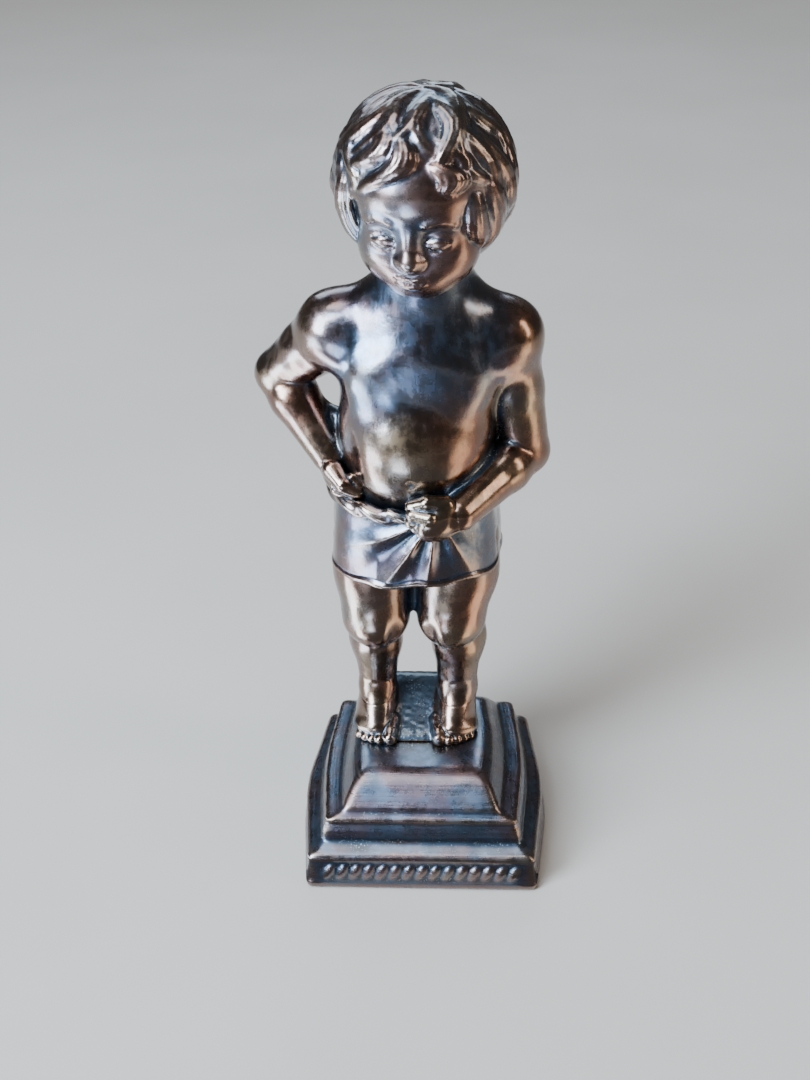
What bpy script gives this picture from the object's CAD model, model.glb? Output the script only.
"""Looks of the souvenir figurine: a buffed copper casting on a stepped plinth, in a plain studio.

The castings are sculpted as distance fields on grids, in millimetres in the model's own frame,
and turned into meshes in metres. The figure's right side is at -X and its face looks along -Y.
"""

import math

import bmesh
import bpy
import numpy as np
from mathutils import Matrix, Vector


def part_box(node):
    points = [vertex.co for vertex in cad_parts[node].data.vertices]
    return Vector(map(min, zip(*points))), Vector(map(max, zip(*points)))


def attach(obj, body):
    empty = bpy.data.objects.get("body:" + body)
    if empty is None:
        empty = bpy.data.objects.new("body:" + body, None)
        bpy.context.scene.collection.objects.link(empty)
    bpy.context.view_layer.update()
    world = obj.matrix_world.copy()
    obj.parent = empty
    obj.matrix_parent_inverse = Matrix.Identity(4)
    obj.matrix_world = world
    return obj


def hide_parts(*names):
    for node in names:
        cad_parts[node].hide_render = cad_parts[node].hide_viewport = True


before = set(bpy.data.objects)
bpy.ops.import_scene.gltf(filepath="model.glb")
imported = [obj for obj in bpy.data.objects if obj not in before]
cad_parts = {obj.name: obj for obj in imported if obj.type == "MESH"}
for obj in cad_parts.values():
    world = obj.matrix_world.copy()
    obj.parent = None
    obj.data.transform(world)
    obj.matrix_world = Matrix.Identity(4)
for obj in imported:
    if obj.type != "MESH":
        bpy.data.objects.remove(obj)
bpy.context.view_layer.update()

MM = 0.001
FAR = 9.0                       # distance stored where nothing has been sculpted yet
PATH_REACH = 0.6                # how far round a path its distance is worked out


def vec(*numbers):
    return np.array(numbers, dtype=float)


def box_mm(node):
    """Lowest and highest corner of a CAD node, in millimetres."""
    low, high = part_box(node)
    return np.array(low) / MM, np.array(high) / MM


PLINTH_LOW, PLINTH_HIGH = box_mm("plinth_casting")
FIGURE_TOP = box_mm("figure_casting")[1][2]
PLATFORM = PLINTH_HIGH[2]
SOLE = PLATFORM + 0.05          # the feet meet the plinth with no gap showing

# ---- Landmarks of the figure, in millimetres ----


def both(right, left):
    return {"right": vec(*right), "left": vec(*left)}


NECK_TOP = vec(1.1, 3.0, 76.0)
NECK_BASE = vec(0.9, 3.4, 69.6)
CHEST = vec(0.5, 3.3, 62.2)
BELLY = vec(-0.4, 1.9, 54.5)
WAIST = vec(0.0, 4.2, 55.5)
PELVIS = vec(-0.3, 3.3, 45.8)
SHOULDER = both((-8.9, 4.2, 67.5), (9.7, 4.2, 66.6))
ELBOW = both((-15.9, 7.2, 60.6), (12.2, 4.6, 52.0))
WRIST = both((-10.2, 2.1, 52.6), (4.8, -4.8, 49.0))
HIP = both((-5.7, 3.4, 41.0), (4.6, 3.4, 41.0))
KNEE = both((-5.6, 2.0, 30.6), (3.7, 2.0, 30.6))
CALF = both((-5.8, 4.6, 24.8), (4.3, 4.6, 24.8))
ANKLE = both((-5.9, 4.4, 18.0), (4.3, 4.4, 18.0))
HEEL = both((-5.6, 6.0, 15.0), (4.2, 6.0, 15.0))
BALL_OF_FOOT = both((-5.9, 0.4, 14.3), (3.8, 0.2, 14.3))
OUTWARD = {"right": -1.0, "left": 1.0}
THIGH_RADIUS = {"right": 4.7, "left": 4.9}
KNEE_RADIUS = {"right": 4.2, "left": 4.25}
SEAT_OFFSET = vec(0.0, 2.2, 2.8)
SEAT_RADII = (4.5, 4.2, 5.0)
CALF_RADIUS = {"right": 3.0, "left": 3.1}
ANKLE_RADIUS = {"right": 2.25, "left": 2.4}

HEAD_CENTRE = vec(1.2, 1.2, 83.6)
HEAD_TURN = -10.0               # degrees about Z, towards the figure's right
HEAD_NOD = 14.0                 # degrees about X, chin down
ANKLE_CUT = 17.2                # the feet end here, inside the legs
OVERLAP = 0.6                   # how far each piece runs on inside the next
TUCK = 0.5                      # how fast it draws in there

# Grid spacing of each casting, in millimetres
BODY_STEP = 0.237
WRAP_STEP = 0.16
HAND_STEP = 0.12
FOOT_STEP = 0.14
HEAD_STEP = 0.144
PLINTH_STEP = 0.23


# ---- Noise ----

NOISE_SEED, NOISE_SIZE = 7, 32
NOISE_TABLE = np.random.RandomState(NOISE_SEED).rand(NOISE_SIZE, NOISE_SIZE, NOISE_SIZE)
NOISE_SHIFT = 100.0             # keeps every cell number positive


def ease(share):
    return share * share * (3.0 - 2.0 * share)


def ramp(values, low, high):
    """0 below low, 1 above high, smooth between."""
    return ease(np.clip((values - low) / (high - low), 0.0, 1.0))


def between_cells(table, cell, part):
    """Values of a table between its cells; it repeats past its ends."""
    total = np.zeros(len(cell))
    for corner in np.ndindex(2, 2, 2):
        picked = (cell + corner) % table.shape
        weight = np.prod(np.where(corner, part, 1.0 - part), axis=1)
        total += weight * table[picked[:, 0], picked[:, 1], picked[:, 2]]
    return total


def noise(points, scale):
    """Smooth value noise from -1 to 1 with features about one scale wide, in millimetres."""
    at = points / scale + NOISE_SHIFT
    cell = np.floor(at).astype(int)
    return 2.0 * between_cells(NOISE_TABLE, cell, ease(at - cell)) - 1.0


# ---- Shapes: each is (lowest corner, highest corner, distance function) ----


def rotation(x=0.0, y=0.0, z=0.0):
    """Turn about X, then Y, then Z, in degrees."""
    turned = Matrix.Rotation(math.radians(z), 3, "Z")
    turned = turned @ Matrix.Rotation(math.radians(y), 3, "Y")
    turned = turned @ Matrix.Rotation(math.radians(x), 3, "X")
    return np.array(turned)


def ball(centre, radii, turn=None):
    """Ellipsoid, or a sphere where radii is one number."""
    radii = np.broadcast_to(np.array(radii, dtype=float), (3,))
    axes = np.eye(3) if turn is None else turn
    reach = np.sqrt((axes ** 2) @ (radii ** 2))

    def distance(x, y, z):
        near = far = 0.0
        for axis, radius in zip(axes.T, radii):
            along = (x - centre[0]) * axis[0] + (y - centre[1]) * axis[1] + (z - centre[2]) * axis[2]
            near = near + (along / radius) ** 2
            far = far + (along / radius ** 2) ** 2
        near = np.sqrt(near)
        return near * (near - 1.0) / np.maximum(np.sqrt(far), 1e-6)

    return centre - reach, centre + reach, distance


def limb(start, start_radius, end, end_radius):
    """Tapered limb with round ends."""
    span = end - start
    length_squared = max(span @ span, 1e-9)
    widest = max(start_radius, end_radius)

    def distance(x, y, z):
        px, py, pz = x - start[0], y - start[1], z - start[2]
        share = (px * span[0] + py * span[1] + pz * span[2]) / length_squared
        share = np.clip(share, 0.0, 1.0)
        gap = (px - share * span[0]) ** 2 + (py - share * span[1]) ** 2 + (pz - share * span[2]) ** 2
        return np.sqrt(gap) - start_radius - share * (end_radius - start_radius)

    return np.minimum(start, end) - widest, np.maximum(start, end) + widest, distance


def past_plane(x, y, z, normal, offset):
    return x * normal[0] + y * normal[1] + z * normal[2] - offset


def limited(shape, normal, offset, rounding):
    """The part of a shape behind a plane."""
    low, high, inner = shape

    def distance(x, y, z):
        return smooth_max(inner(x, y, z), past_plane(x, y, z, normal, offset), rounding)

    return low, high, distance


def smooth_min(a, b, width):
    if width <= 0.0:
        return np.minimum(a, b)
    mix = np.maximum(width - np.abs(a - b), 0.0) / width
    return np.minimum(a, b) - mix * mix * width * 0.25


def smooth_max(a, b, width):
    return -smooth_min(-a, -b, width)


# ---- Sculpting on a grid ----


class Sculpt:
    """A solid as distances on a regular grid, negative inside."""

    def __init__(self, low, high, step, reach=1.2):
        self.low = np.array(low, dtype=float)
        self.step = step
        self.reach = reach      # how far round a shape its distance is worked out
        counts = np.ceil((np.array(high) - self.low) / step).astype(int) + 1
        self.axes = [self.low[i] + step * np.arange(counts[i]) for i in range(3)]
        self.field = np.full(counts, FAR, dtype=np.float32)

    def window(self, low, high, margin):
        """Index ranges of a box, and the open grids of its coordinates."""
        ranges = []
        for axis, lowest, highest in zip(self.axes, low, high):
            first = np.searchsorted(axis, lowest - margin)
            last = np.searchsorted(axis, highest + margin)
            ranges.append(slice(first, last))
        x, y, z = (axis[part].astype(np.float32) for axis, part in zip(self.axes, ranges))
        return tuple(ranges), x[:, None, None], y[None, :, None], z[None, None, :]

    def grid(self):
        """Open grids of the coordinates of the whole sculpt."""
        x, y, z = self.axes
        return x[:, None, None], y[None, :, None], z[None, None, :]

    def join(self, part, distances, width, carve):
        if carve:
            self.field[part] = smooth_max(self.field[part], -distances, width)
        else:
            self.field[part] = smooth_min(self.field[part], distances, width)

    def add(self, shape, width=0.0, carve=False):
        low, high, distance = shape
        part, x, y, z = self.window(low, high, self.reach + width)
        if self.field[part].size:
            self.join(part, distance(x, y, z), width, carve)

    def carve(self, shape, width=0.0):
        self.add(shape, width, True)

    def path(self, points, radii, width, carve=False):
        """Add or carve a tube of changing radius through points, as one smooth shape."""
        points = np.array(points)
        margin = PATH_REACH + width
        part, x, y, z = self.window(points.min(axis=0), points.max(axis=0), max(radii) + margin)
        tube = np.full(self.field[part].shape, FAR, dtype=np.float32)
        if not tube.size:
            return
        for start, end, r0, r1 in zip(points, points[1:], radii, radii[1:]):
            low, high, distance = limb(start, r0, end, r1)
            ranges = []
            for axis, lowest, highest in zip((x, y, z), low, high):
                ends = np.searchsorted(axis.ravel(), (lowest - margin, highest + margin))
                ranges.append(slice(*ends))
            ranges = tuple(ranges)
            near = distance(x[ranges[0]], y[:, ranges[1]], z[:, :, ranges[2]])
            tube[ranges] = np.minimum(tube[ranges], near)
        self.join(part, tube, width, carve)

    def value(self, point):
        """Distance at a point, from the nearest cell of the grid."""
        at = np.round((point - self.low) / self.step).astype(int)
        at = np.clip(at, 0, np.array(self.field.shape) - 1)
        return self.field[tuple(at)]

    def keep(self, normal, offset, width=0.0):
        """Cut away what lies in front of a plane."""
        beyond = past_plane(*self.grid(), normal, offset).astype(np.float32)
        self.field = smooth_max(self.field, beyond, width).astype(np.float32)

    def tuck(self, normal, offset):
        """Draw the surface in beyond a plane, so that it ends inside the next piece."""
        beyond = past_plane(*self.grid(), normal, offset)
        self.field = (self.field + TUCK * np.maximum(beyond, 0.0)).astype(np.float32)
        self.keep(normal, offset + OVERLAP)

    def surface(self):
        """Vertices and quads of the zero surface: one vertex in each cell that it crosses."""
        field = self.field
        inside = field < 0.0
        cells_shape = tuple(n - 1 for n in field.shape)
        count = np.zeros(cells_shape, dtype=np.uint8)
        for dx, dy, dz in np.ndindex(2, 2, 2):
            count += inside[dx:dx + cells_shape[0], dy:dy + cells_shape[1], dz:dz + cells_shape[2]]
        active = (count > 0) & (count < 8)
        cells = np.argwhere(active)
        index = np.full(cells_shape, -1, dtype=np.int64)
        index[active] = np.arange(len(cells))

        corners = list(np.ndindex(2, 2, 2))
        values = [field[tuple((cells + corner).T)].astype(float) for corner in corners]
        total = np.zeros((len(cells), 3))
        crossings = np.zeros(len(cells))
        for first, start in enumerate(corners):
            for second, end in enumerate(corners):
                if second <= first or sum(abs(np.subtract(start, end))) != 1:
                    continue
                a, b = values[first], values[second]
                crossed = (a < 0.0) != (b < 0.0)
                share = a[crossed] / (a[crossed] - b[crossed])
                total[crossed] += start + share[:, None] * np.subtract(end, start)
                crossings[crossed] += 1.0
        vertices = self.low + self.step * (cells + total / crossings[:, None])

        quads = []
        for axis in range(3):
            side, up = (axis + 1) % 3, (axis + 2) % 3
            lower = np.take(inside, np.arange(field.shape[axis] - 1), axis=axis)
            upper = np.take(inside, np.arange(1, field.shape[axis]), axis=axis)
            at = np.argwhere(lower != upper)
            fits = (at[:, side] > 0) & (at[:, up] > 0)
            fits &= (at[:, side] < cells_shape[side]) & (at[:, up] < cells_shape[up])
            at = at[fits]
            back, down = np.eye(3, dtype=int)[side], np.eye(3, dtype=int)[up]
            ring = [index[tuple((at - move).T)] for move in (0 * back, back, back + down, down)]
            quad = np.stack(ring, axis=1)
            leaving = lower[tuple(at.T)]
            quads.append(np.where(leaving[:, None], quad, quad[:, ::-1]))
        return vertices, np.concatenate(quads)


# ---- Mesh work ----


def neighbour_mean(values, quads, count):
    """Mean over each vertex's neighbours along the quads' edges."""
    starts = quads.ravel()
    ends = np.roll(quads, -1, axis=1).ravel()
    degree = np.bincount(starts, minlength=count) + np.bincount(ends, minlength=count)
    mean = np.empty_like(values)
    for column in range(values.shape[1]):
        total = np.bincount(starts, weights=values[ends, column], minlength=count)
        total += np.bincount(ends, weights=values[starts, column], minlength=count)
        mean[:, column] = total / degree
    return mean


def smoothed(vertices, quads, rounds, back=0.53):
    """Smoothing that keeps the volume: each inward step is followed by one outward."""
    for _ in range(rounds):
        vertices = vertices + 0.5 * (neighbour_mean(vertices, quads, len(vertices)) - vertices)
        vertices = vertices - back * (neighbour_mean(vertices, quads, len(vertices)) - vertices)
    return vertices


def normals_of(vertices, quads):
    first, second, third, fourth = (vertices[quads[:, i]] for i in range(4))
    face_normals = np.cross(third - first, fourth - second)
    normals = np.zeros_like(vertices)
    for column in range(3):
        for corner in range(4):
            normals[:, column] += np.bincount(
                quads[:, corner], weights=face_normals[:, column], minlength=len(vertices)
            )
    length = np.linalg.norm(normals, axis=1)
    return normals / np.maximum(length, 1e-12)[:, None]


def hollowness(vertices, quads, normals, rounds):
    """How far the surface lies below its smoothed self, in millimetres."""
    spread = vertices
    for _ in range(rounds):
        spread = neighbour_mean(spread, quads, len(vertices))
    return np.sum((spread - vertices) * normals, axis=1)


# ---- Body ----


def sculpt_trunk(body):
    """Soft round chest and belly of a small child, with the seat behind."""
    body.add(ball(CHEST, (9.0, 6.0, 8.4)))
    body.add(ball(WAIST, (8.4, 5.4, 9.8)), 2.6)
    body.add(ball(BELLY, (8.0, 7.4, 8.2)), 3.4)
    body.add(ball(PELVIS, (9.2, 6.2, 6.4)), 2.4)
    for side, out in OUTWARD.items():
        body.add(ball(CHEST + vec(out * 3.7, -2.8, 1.3), (4.3, 2.9, 3.7)), 3.0)
        body.add(ball(CHEST + vec(out * 4.4, 3.4, -0.5), (4.2, 2.4, 6.0)), 2.2)
        body.add(ball(HIP[side] + SEAT_OFFSET, SEAT_RADII), 1.2)
    spine = limb(vec(0.4, 11.3, 64.0), 1.3, vec(-0.1, 10.9, 50.0), 1.3)
    body.carve(spine, 2.4)
    body.carve(ball(vec(-8.4, -2.6, 54.6), (1.0, 1.6, 2.6)), 2.6)
    body.carve(ball(BELLY + vec(-0.2, -7.6, -1.8), (0.4, 0.5, 0.35)), 0.6)


def sculpt_shoulders(body):
    """Short neck, with slopes that run up to it from the shoulders."""
    body.add(limb(NECK_BASE - vec(0.0, 0.0, 2.0), 5.3, NECK_TOP, 4.8), 3.8)
    for side, out in OUTWARD.items():
        body.add(limb(NECK_BASE + vec(out * 2.2, 0.4, 1.1), 3.5, SHOULDER[side], 3.8), 3.2)


def sculpt_arm(body, side):
    out = OUTWARD[side]
    shoulder, elbow, wrist = SHOULDER[side], ELBOW[side], WRIST[side]
    body.add(ball(shoulder + vec(0.0, -0.2, -0.3), (4.0, 4.1, 4.1)), 2.0)
    middle = 0.55 * shoulder + 0.45 * elbow
    body.add(limb(shoulder, 3.9, middle, 3.3), 1.0)
    body.add(limb(middle, 3.3, elbow, 2.85), 0.8)
    swell = 0.7 * elbow + 0.3 * wrist
    body.add(limb(elbow, 2.8, swell, 2.85), 0.6)
    body.add(limb(swell, 2.85, wrist, 2.05), 0.8)


def sculpt_torso(sculpt):
    sculpt_trunk(sculpt)
    sculpt_shoulders(sculpt)
    for side in OUTWARD:
        sculpt_arm(sculpt, side)


def sculpt_webs(body):
    """Thin metal left between the arms and the trunk."""
    body.add(limb(vec(9.2, 4.8, 61.0), 1.5, vec(9.8, 4.8, 51.5), 1.5), 1.0)
    body.add(limb(vec(-9.6, 4.6, 56.2), 0.9, vec(-8.8, 3.6, 51.5), 1.7), 0.8)
    body.add(limb(vec(-11.8, 6.0, 57.6), 0.7, vec(-8.4, 4.6, 55.6), 0.9), 0.8)
    body.add(limb(vec(-0.9, 3.4, 41.0), 1.9, vec(-1.0, 2.8, 32.3), 1.4), 0.8)


def sculpt_instep(sculpt, side):
    """Heel and top of the foot, which the legs and the feet have to agree on."""
    ankle, pad = ANKLE[side], BALL_OF_FOOT[side]
    sculpt.add(limb(ankle - vec(0.0, 0.3, 0.0), ANKLE_RADIUS[side], HEEL[side], 2.0), 0.8)
    sculpt.add(limb(ankle - vec(0.0, 0.6, 0.2), ANKLE_RADIUS[side] - 0.1, pad, 1.6), 0.8)
    sculpt.add(ball(pad + vec(OUTWARD[side] * 0.2, 3.0, 0.6), (2.65, 2.8, 2.2)), 1.4)


def sculpt_leg(body, side):
    out = OUTWARD[side]
    hip, knee, calf, ankle = HIP[side], KNEE[side], CALF[side], ANKLE[side]
    body.add(limb(hip, THIGH_RADIUS[side], knee, KNEE_RADIUS[side]), 0.8)
    body.add(ball(hip + vec(out * 0.4, -0.6, -4.0), (4.4, 4.4, 5.4)), 1.2)
    body.add(limb(knee - vec(0.0, -1.8, 1.6), 3.0, calf, CALF_RADIUS[side]), 0.55)
    body.add(ball(calf + vec(out * 0.5, 0.9, 0.4), (3.2, 2.7, 4.4)), 0.9)
    body.add(limb(calf, CALF_RADIUS[side], ankle, ANKLE_RADIUS[side]), 1.0)
    body.add(ball(knee + vec(-out * 0.3, -3.1, -0.6), (2.0, 1.2, 2.2)), 1.2)
    body.carve(ball(knee + vec(-out * 2.7, -3.9, -1.6), (0.5, 0.7, 1.4)), 1.8)
    sculpt_instep(body, side)


def sculpt_body():
    body = Sculpt((-20.0, -7.4, ANKLE_CUT - 2.0), (16.6, 12.4, NECK_TOP[2] + 5.6), BODY_STEP, 4.0)
    sculpt_torso(body)
    sculpt_webs(body)
    for side in OUTWARD:
        sculpt_leg(body, side)
    body.tuck(vec(0.0, 0.0, -1.0), -ANKLE_CUT)
    return body


# ---- Hands ----

# Each hand: the way it points from the wrist, the way its thumb side faces, and its size.
HAND_POSE = {
    "right": (vec(0.45, -0.12, -0.88), vec(-0.30, -0.92, 0.05), 1.28),
    "left": (vec(-0.86, -0.38, -0.34), vec(-0.24, -0.55, 0.80), 1.25),
}
FINGER_BENDS = (-48.0, -128.0, -192.0)      # degrees from the hand's direction, bone by bone
FINGER_BONES = (1.75, 1.35, 0.95)
FINGER_RADIUS = 0.66
FINGER_SPACING = 1.12
PALM_RADII = vec(2.35, 1.35, 2.15)
SLEEVE = 1.6                                # how far the hand runs on inside the arm
# The thumb's joints: how far along the hand, towards its thumb side and towards its palm.
THUMB = (vec(0.9, 1.5, 0.5), vec(2.3, 2.3, 1.2), vec(3.6, 1.9, 1.9))


def sculpt_hand(side):
    """Closed hand: the fingers curl towards the palm, with the thumb across them."""
    pointing, thumbward, size = HAND_POSE[side]
    pointing = pointing / np.linalg.norm(pointing)
    thumbward = thumbward - pointing * (thumbward @ pointing)
    thumbward = thumbward / np.linalg.norm(thumbward)
    palmward = np.cross(pointing, thumbward) * OUTWARD[side]
    wrist = WRIST[side]
    back_to_elbow = (ELBOW[side] - wrist) / np.linalg.norm(ELBOW[side] - wrist)

    hand = Sculpt(wrist - 8.5, wrist + 8.5, HAND_STEP)
    palm = wrist + size * 1.9 * pointing + size * 0.1 * palmward
    hand.add(ball(palm, size * PALM_RADII, np.stack([pointing, palmward, thumbward], axis=1)))
    hand.add(limb(wrist + back_to_elbow * SLEEVE, 2.15, wrist + pointing * 0.5, 1.85), 0.5)
    for finger in range(4):
        from_middle = abs(finger - 1.0)
        long = size * (1.0 - 0.07 * from_middle)
        joint = wrist + size * (2.9 - 0.15 * from_middle) * pointing
        joint = joint + (1.5 - finger) * FINGER_SPACING * size * thumbward
        radius = FINGER_RADIUS * long
        for bone, (length, bend) in enumerate(zip(FINGER_BONES, FINGER_BENDS)):
            angle = math.radians(bend)
            along = math.cos(angle) * pointing - math.sin(angle) * palmward
            tip = joint + long * length * along
            hand.add(limb(joint, radius * (1.06 - 0.06 * bone), tip, radius * (1.0 - 0.07 * bone)), 0.18)
            joint = tip
    axes = np.stack([pointing, thumbward, palmward], axis=1)
    root, knuckle, tip = (wrist + size * (axes @ offset) for offset in THUMB)
    hand.add(limb(root, 0.95 * size, knuckle, 0.74 * size), 0.35)
    hand.add(limb(knuckle, 0.72 * size, tip, 0.6 * size), 0.15)
    return hand


# ---- Feet and the ground that they stand on ----

TOE_RADII = (0.94, 0.7, 0.66, 0.61, 0.56)
TOE_STEPS = (0.0, 1.28, 2.25, 3.14, 3.92)   # from the big toe outwards
TOE_FRONTS = (-2.35, -2.25, -2.0, -1.55, -0.95)
BIG_TOE_X = {"right": -4.2, "left": 2.0}
GROUND_LOW, GROUND_HIGH, GROUND_RISE = vec(-5.8, -1.7, SOLE + 0.2), vec(4.5, 10.2, 17.6), 0.52


def sculpt_foot(feet, side):
    out = OUTWARD[side]
    feet.add(limb(CALF[side], CALF_RADIUS[side], ANKLE[side], ANKLE_RADIUS[side]), 0.5)
    sculpt_instep(feet, side)
    feet.add(ball(BALL_OF_FOOT[side] + vec(out * 0.3, 1.2, -0.3), (2.9, 2.5, 1.5)), 0.8)
    for step, front, radius in zip(TOE_STEPS, TOE_FRONTS, TOE_RADII):
        x = BIG_TOE_X[side] + out * step
        tip = vec(x, front + radius, SOLE + 0.62 * radius)
        middle = vec(x - out * 0.1, front + radius + 0.9, SOLE + 1.15 * radius)
        root = vec(x - out * 0.35, front + radius + 2.4, SOLE + 1.6 * radius)
        feet.add(limb(tip, radius, middle, radius * 0.92), 0.22)
        feet.add(limb(middle, radius * 0.92, root, radius), 0.3)


GROUND_FALL = (0.9, 0.44)       # direction in which the back of the ground falls away


def sloping_block(low, high, rise):
    """Block with its top sloping up towards +Y, by rise for each millimetre."""

    def distance(x, y, z):
        across = np.abs(x - 0.5 * (low[0] + high[0])) - 0.5 * (high[0] - low[0])
        ends = np.abs(y - 0.5 * (low[1] + high[1])) - 0.5 * (high[1] - low[1])
        top = (z - low[2] - rise * (y - low[1])) / math.hypot(1.0, rise)
        top = smooth_max(top, z - high[2], 1.2)
        falling = GROUND_FALL[0] * (y - high[1]) + GROUND_FALL[1] * (z - low[2])
        return smooth_max(smooth_max(smooth_max(across, ends, 0.8), falling, 1.6), top, 1.4)

    return low, high, distance


def sculpt_feet():
    """Both feet on rough ground, which fills the space between them and rises behind."""
    feet = Sculpt((-9.8, -3.6, SOLE - 0.8), (8.6, 11.2, ANKLE_CUT + 1.6), FOOT_STEP, 2.0)
    feet.add(sloping_block(GROUND_LOW, GROUND_HIGH, GROUND_RISE))
    for side in OUTWARD:
        sculpt_foot(feet, side)
    feet.keep(vec(0.0, 0.0, -1.0), -SOLE, 0.1)
    feet.tuck(vec(0.0, 0.0, 1.0), ANKLE_CUT)
    return feet


# ---- Wrap round the hips ----

WRAP_TOP = 48.7
WRAP_HEM = 38.9
WRAP_CENTRE = (-0.5, 3.1)
WRAP_TOP_RADII = (9.35, 7.2)
WRAP_HEM_RADII = (10.3, 8.4)
WRAP_GRIP = vec(2.2, 0.0, 48.2)             # where the left hand gathers the cloth
SEAT_ROOM = 0.7                             # cloth over the seat
GATHERS, GATHER_DEPTH = 5.0, 0.3            # folds that fan out from the grip
HANGING, HANGING_DEPTH = 10.0, 0.4          # folds that hang round the rest
CLOTH_THICKNESS, HEM_RADIUS, ROLL_RADIUS = 0.75, 0.42, 0.72


def sculpt_wrap():
    """Short cloth round the hips: rolled at the top, in folds that run from the left hand."""
    wrap = Sculpt((-12.2, -7.2, 36.8), (11.6, 12.6, 51.6), WRAP_STEP)
    world_x, world_y, z = wrap.grid()
    x, y = world_x - WRAP_CENTRE[0], world_y - WRAP_CENTRE[1]
    down = np.clip((WRAP_TOP - z) / (WRAP_TOP - WRAP_HEM), -0.3, 1.2)
    wide, deep = (top + (hem - top) * down for top, hem in zip(WRAP_TOP_RADII, WRAP_HEM_RADII))
    rim = np.sqrt((x / wide) ** 2 + (y / deep) ** 2)
    outside = np.hypot(x, y) * (1.0 - 1.0 / np.maximum(rim, 0.05))
    for hip in HIP.values():
        _, _, to_seat = ball(hip + SEAT_OFFSET + vec(0.0, 0.3, -2.0), vec(*SEAT_RADII) + vec(-0.4, 0.0, 4.0))
        outside = smooth_min(outside, to_seat(world_x, world_y, z) - SEAT_ROOM, 1.6)
    bearing = np.arctan2(x, -y)

    aside, below = world_x - WRAP_GRIP[0], WRAP_GRIP[2] - z
    from_grip = np.hypot(aside, below)
    fan = np.arctan2(aside, below)
    facing = ramp(np.cos(bearing), 0.0, 0.5)
    gathered = 1.0 - 2.0 * np.abs(np.sin(GATHERS * fan + 0.9 * np.sin(2.0 * fan + 1.0))) ** 1.3
    gathered = gathered * ramp(from_grip, 0.3, 3.0) * (1.0 - 0.45 * ramp(from_grip, 5.0, 12.0)) * facing
    swing = HANGING * bearing + 1.5 * np.sin(2.0 * bearing) + 0.4 * down
    hanging = (1.0 - 2.0 * np.abs(np.sin(0.5 * swing)) ** 1.2) * (1.0 - 0.8 * facing)
    folds = GATHER_DEPTH * gathered + HANGING_DEPTH * hanging * np.clip(down, 0.2, 1.0) - 0.1
    hem = WRAP_HEM + 0.35 * np.sin(2.0 * bearing + 0.6) + 0.16 * np.sin(9.0 * bearing + 1.0)
    edge = WRAP_TOP - 0.7 * np.cos(bearing)

    face = outside - folds
    cloth = smooth_max(smooth_max(face, hem - z, 0.35), z - edge, 0.3)
    under = smooth_max(face + CLOTH_THICKNESS, z - hem - 1.1, 0.2)
    cloth = smooth_max(cloth, -under, 0.15)
    bead = np.hypot(face + 0.2, z - hem - 0.3) - HEM_RADIUS
    roll = np.hypot(outside - 0.15, (z - edge) * 0.85) - ROLL_RADIUS
    roll = roll + 0.13 * np.sin(14.0 * bearing + 3.0 * (z - edge))
    wrap.field = smooth_min(smooth_min(cloth, bead, 0.15), roll, 0.3).astype(np.float32)
    return wrap


# ---- Head ----

SKULL_CENTRE = vec(0.0, 1.0, 1.2)
SKULL_RADII = vec(8.6, 8.6, 8.5)
NAPE_CENTRE = vec(0.0, 3.3, -4.2)
NAPE_RADII = vec(7.7, 5.4, 6.2)
CROWN_TILT = 16.0               # degrees that the crown lies behind the top of the head
LOCK_RADIUS = 0.66


class Placed:
    """Adds shapes given in the head's own frame to a sculpt in the row frame."""

    def __init__(self, sculpt):
        self.sculpt = sculpt
        self.turn = rotation(x=HEAD_NOD, z=HEAD_TURN)

    def at(self, point):
        return HEAD_CENTRE + self.turn @ np.array(point, dtype=float)

    def ball(self, centre, radii):
        return ball(self.at(centre), radii, self.turn)

    def limb(self, start, start_radius, end, end_radius):
        return limb(self.at(start), start_radius, self.at(end), end_radius)

    def path(self, points, radii, width, carve=False):
        self.sculpt.path([self.at(point) for point in points], radii, width, carve)

    def front(self, x, z):
        """Point of the surface as met from the front at x and z, in the head's frame."""
        y = -12.0
        while y < 0.0:
            gap = self.sculpt.value(self.at((x, y, z)))
            if gap < 0.02:
                break
            y += max(0.6 * min(gap, 1.0), 0.04)
        return vec(x, y, z)

    def on_front(self, xs, zs, lift=0.0):
        """Points on the surface, as met from the front, or lift in front of it."""
        return [self.front(x, z) - vec(0.0, lift, 0.0) for x, z in zip(xs, zs)]


# Face in the head's frame, as balls: centre, radii and how softly each joins the ones before it.
FACE = (
    ((0.0, 0.8, 1.6), (7.4, 8.2, 7.8), 0.0),
    ((0.0, -1.2, -2.4), (6.1, 6.2, 6.8), 2.0),
    ((0.0, -4.7, 2.4), (4.8, 2.7, 3.2), 2.8),
    ((-2.7, -4.2, -4.2), (3.0, 2.8, 2.9), 3.0),
    ((2.7, -4.2, -4.2), (3.0, 2.8, 2.9), 3.0),
    ((0.0, -4.6, -7.0), (2.5, 2.3, 2.1), 2.6),
    ((0.0, -6.0, -5.3), (2.2, 1.5, 1.6), 2.2),
)
EYE = vec(2.7, -5.95, -1.3)
EYE_RADII = (1.5, 1.5, 1.275)
EYE_HALF_WIDTH = 1.3


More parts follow.
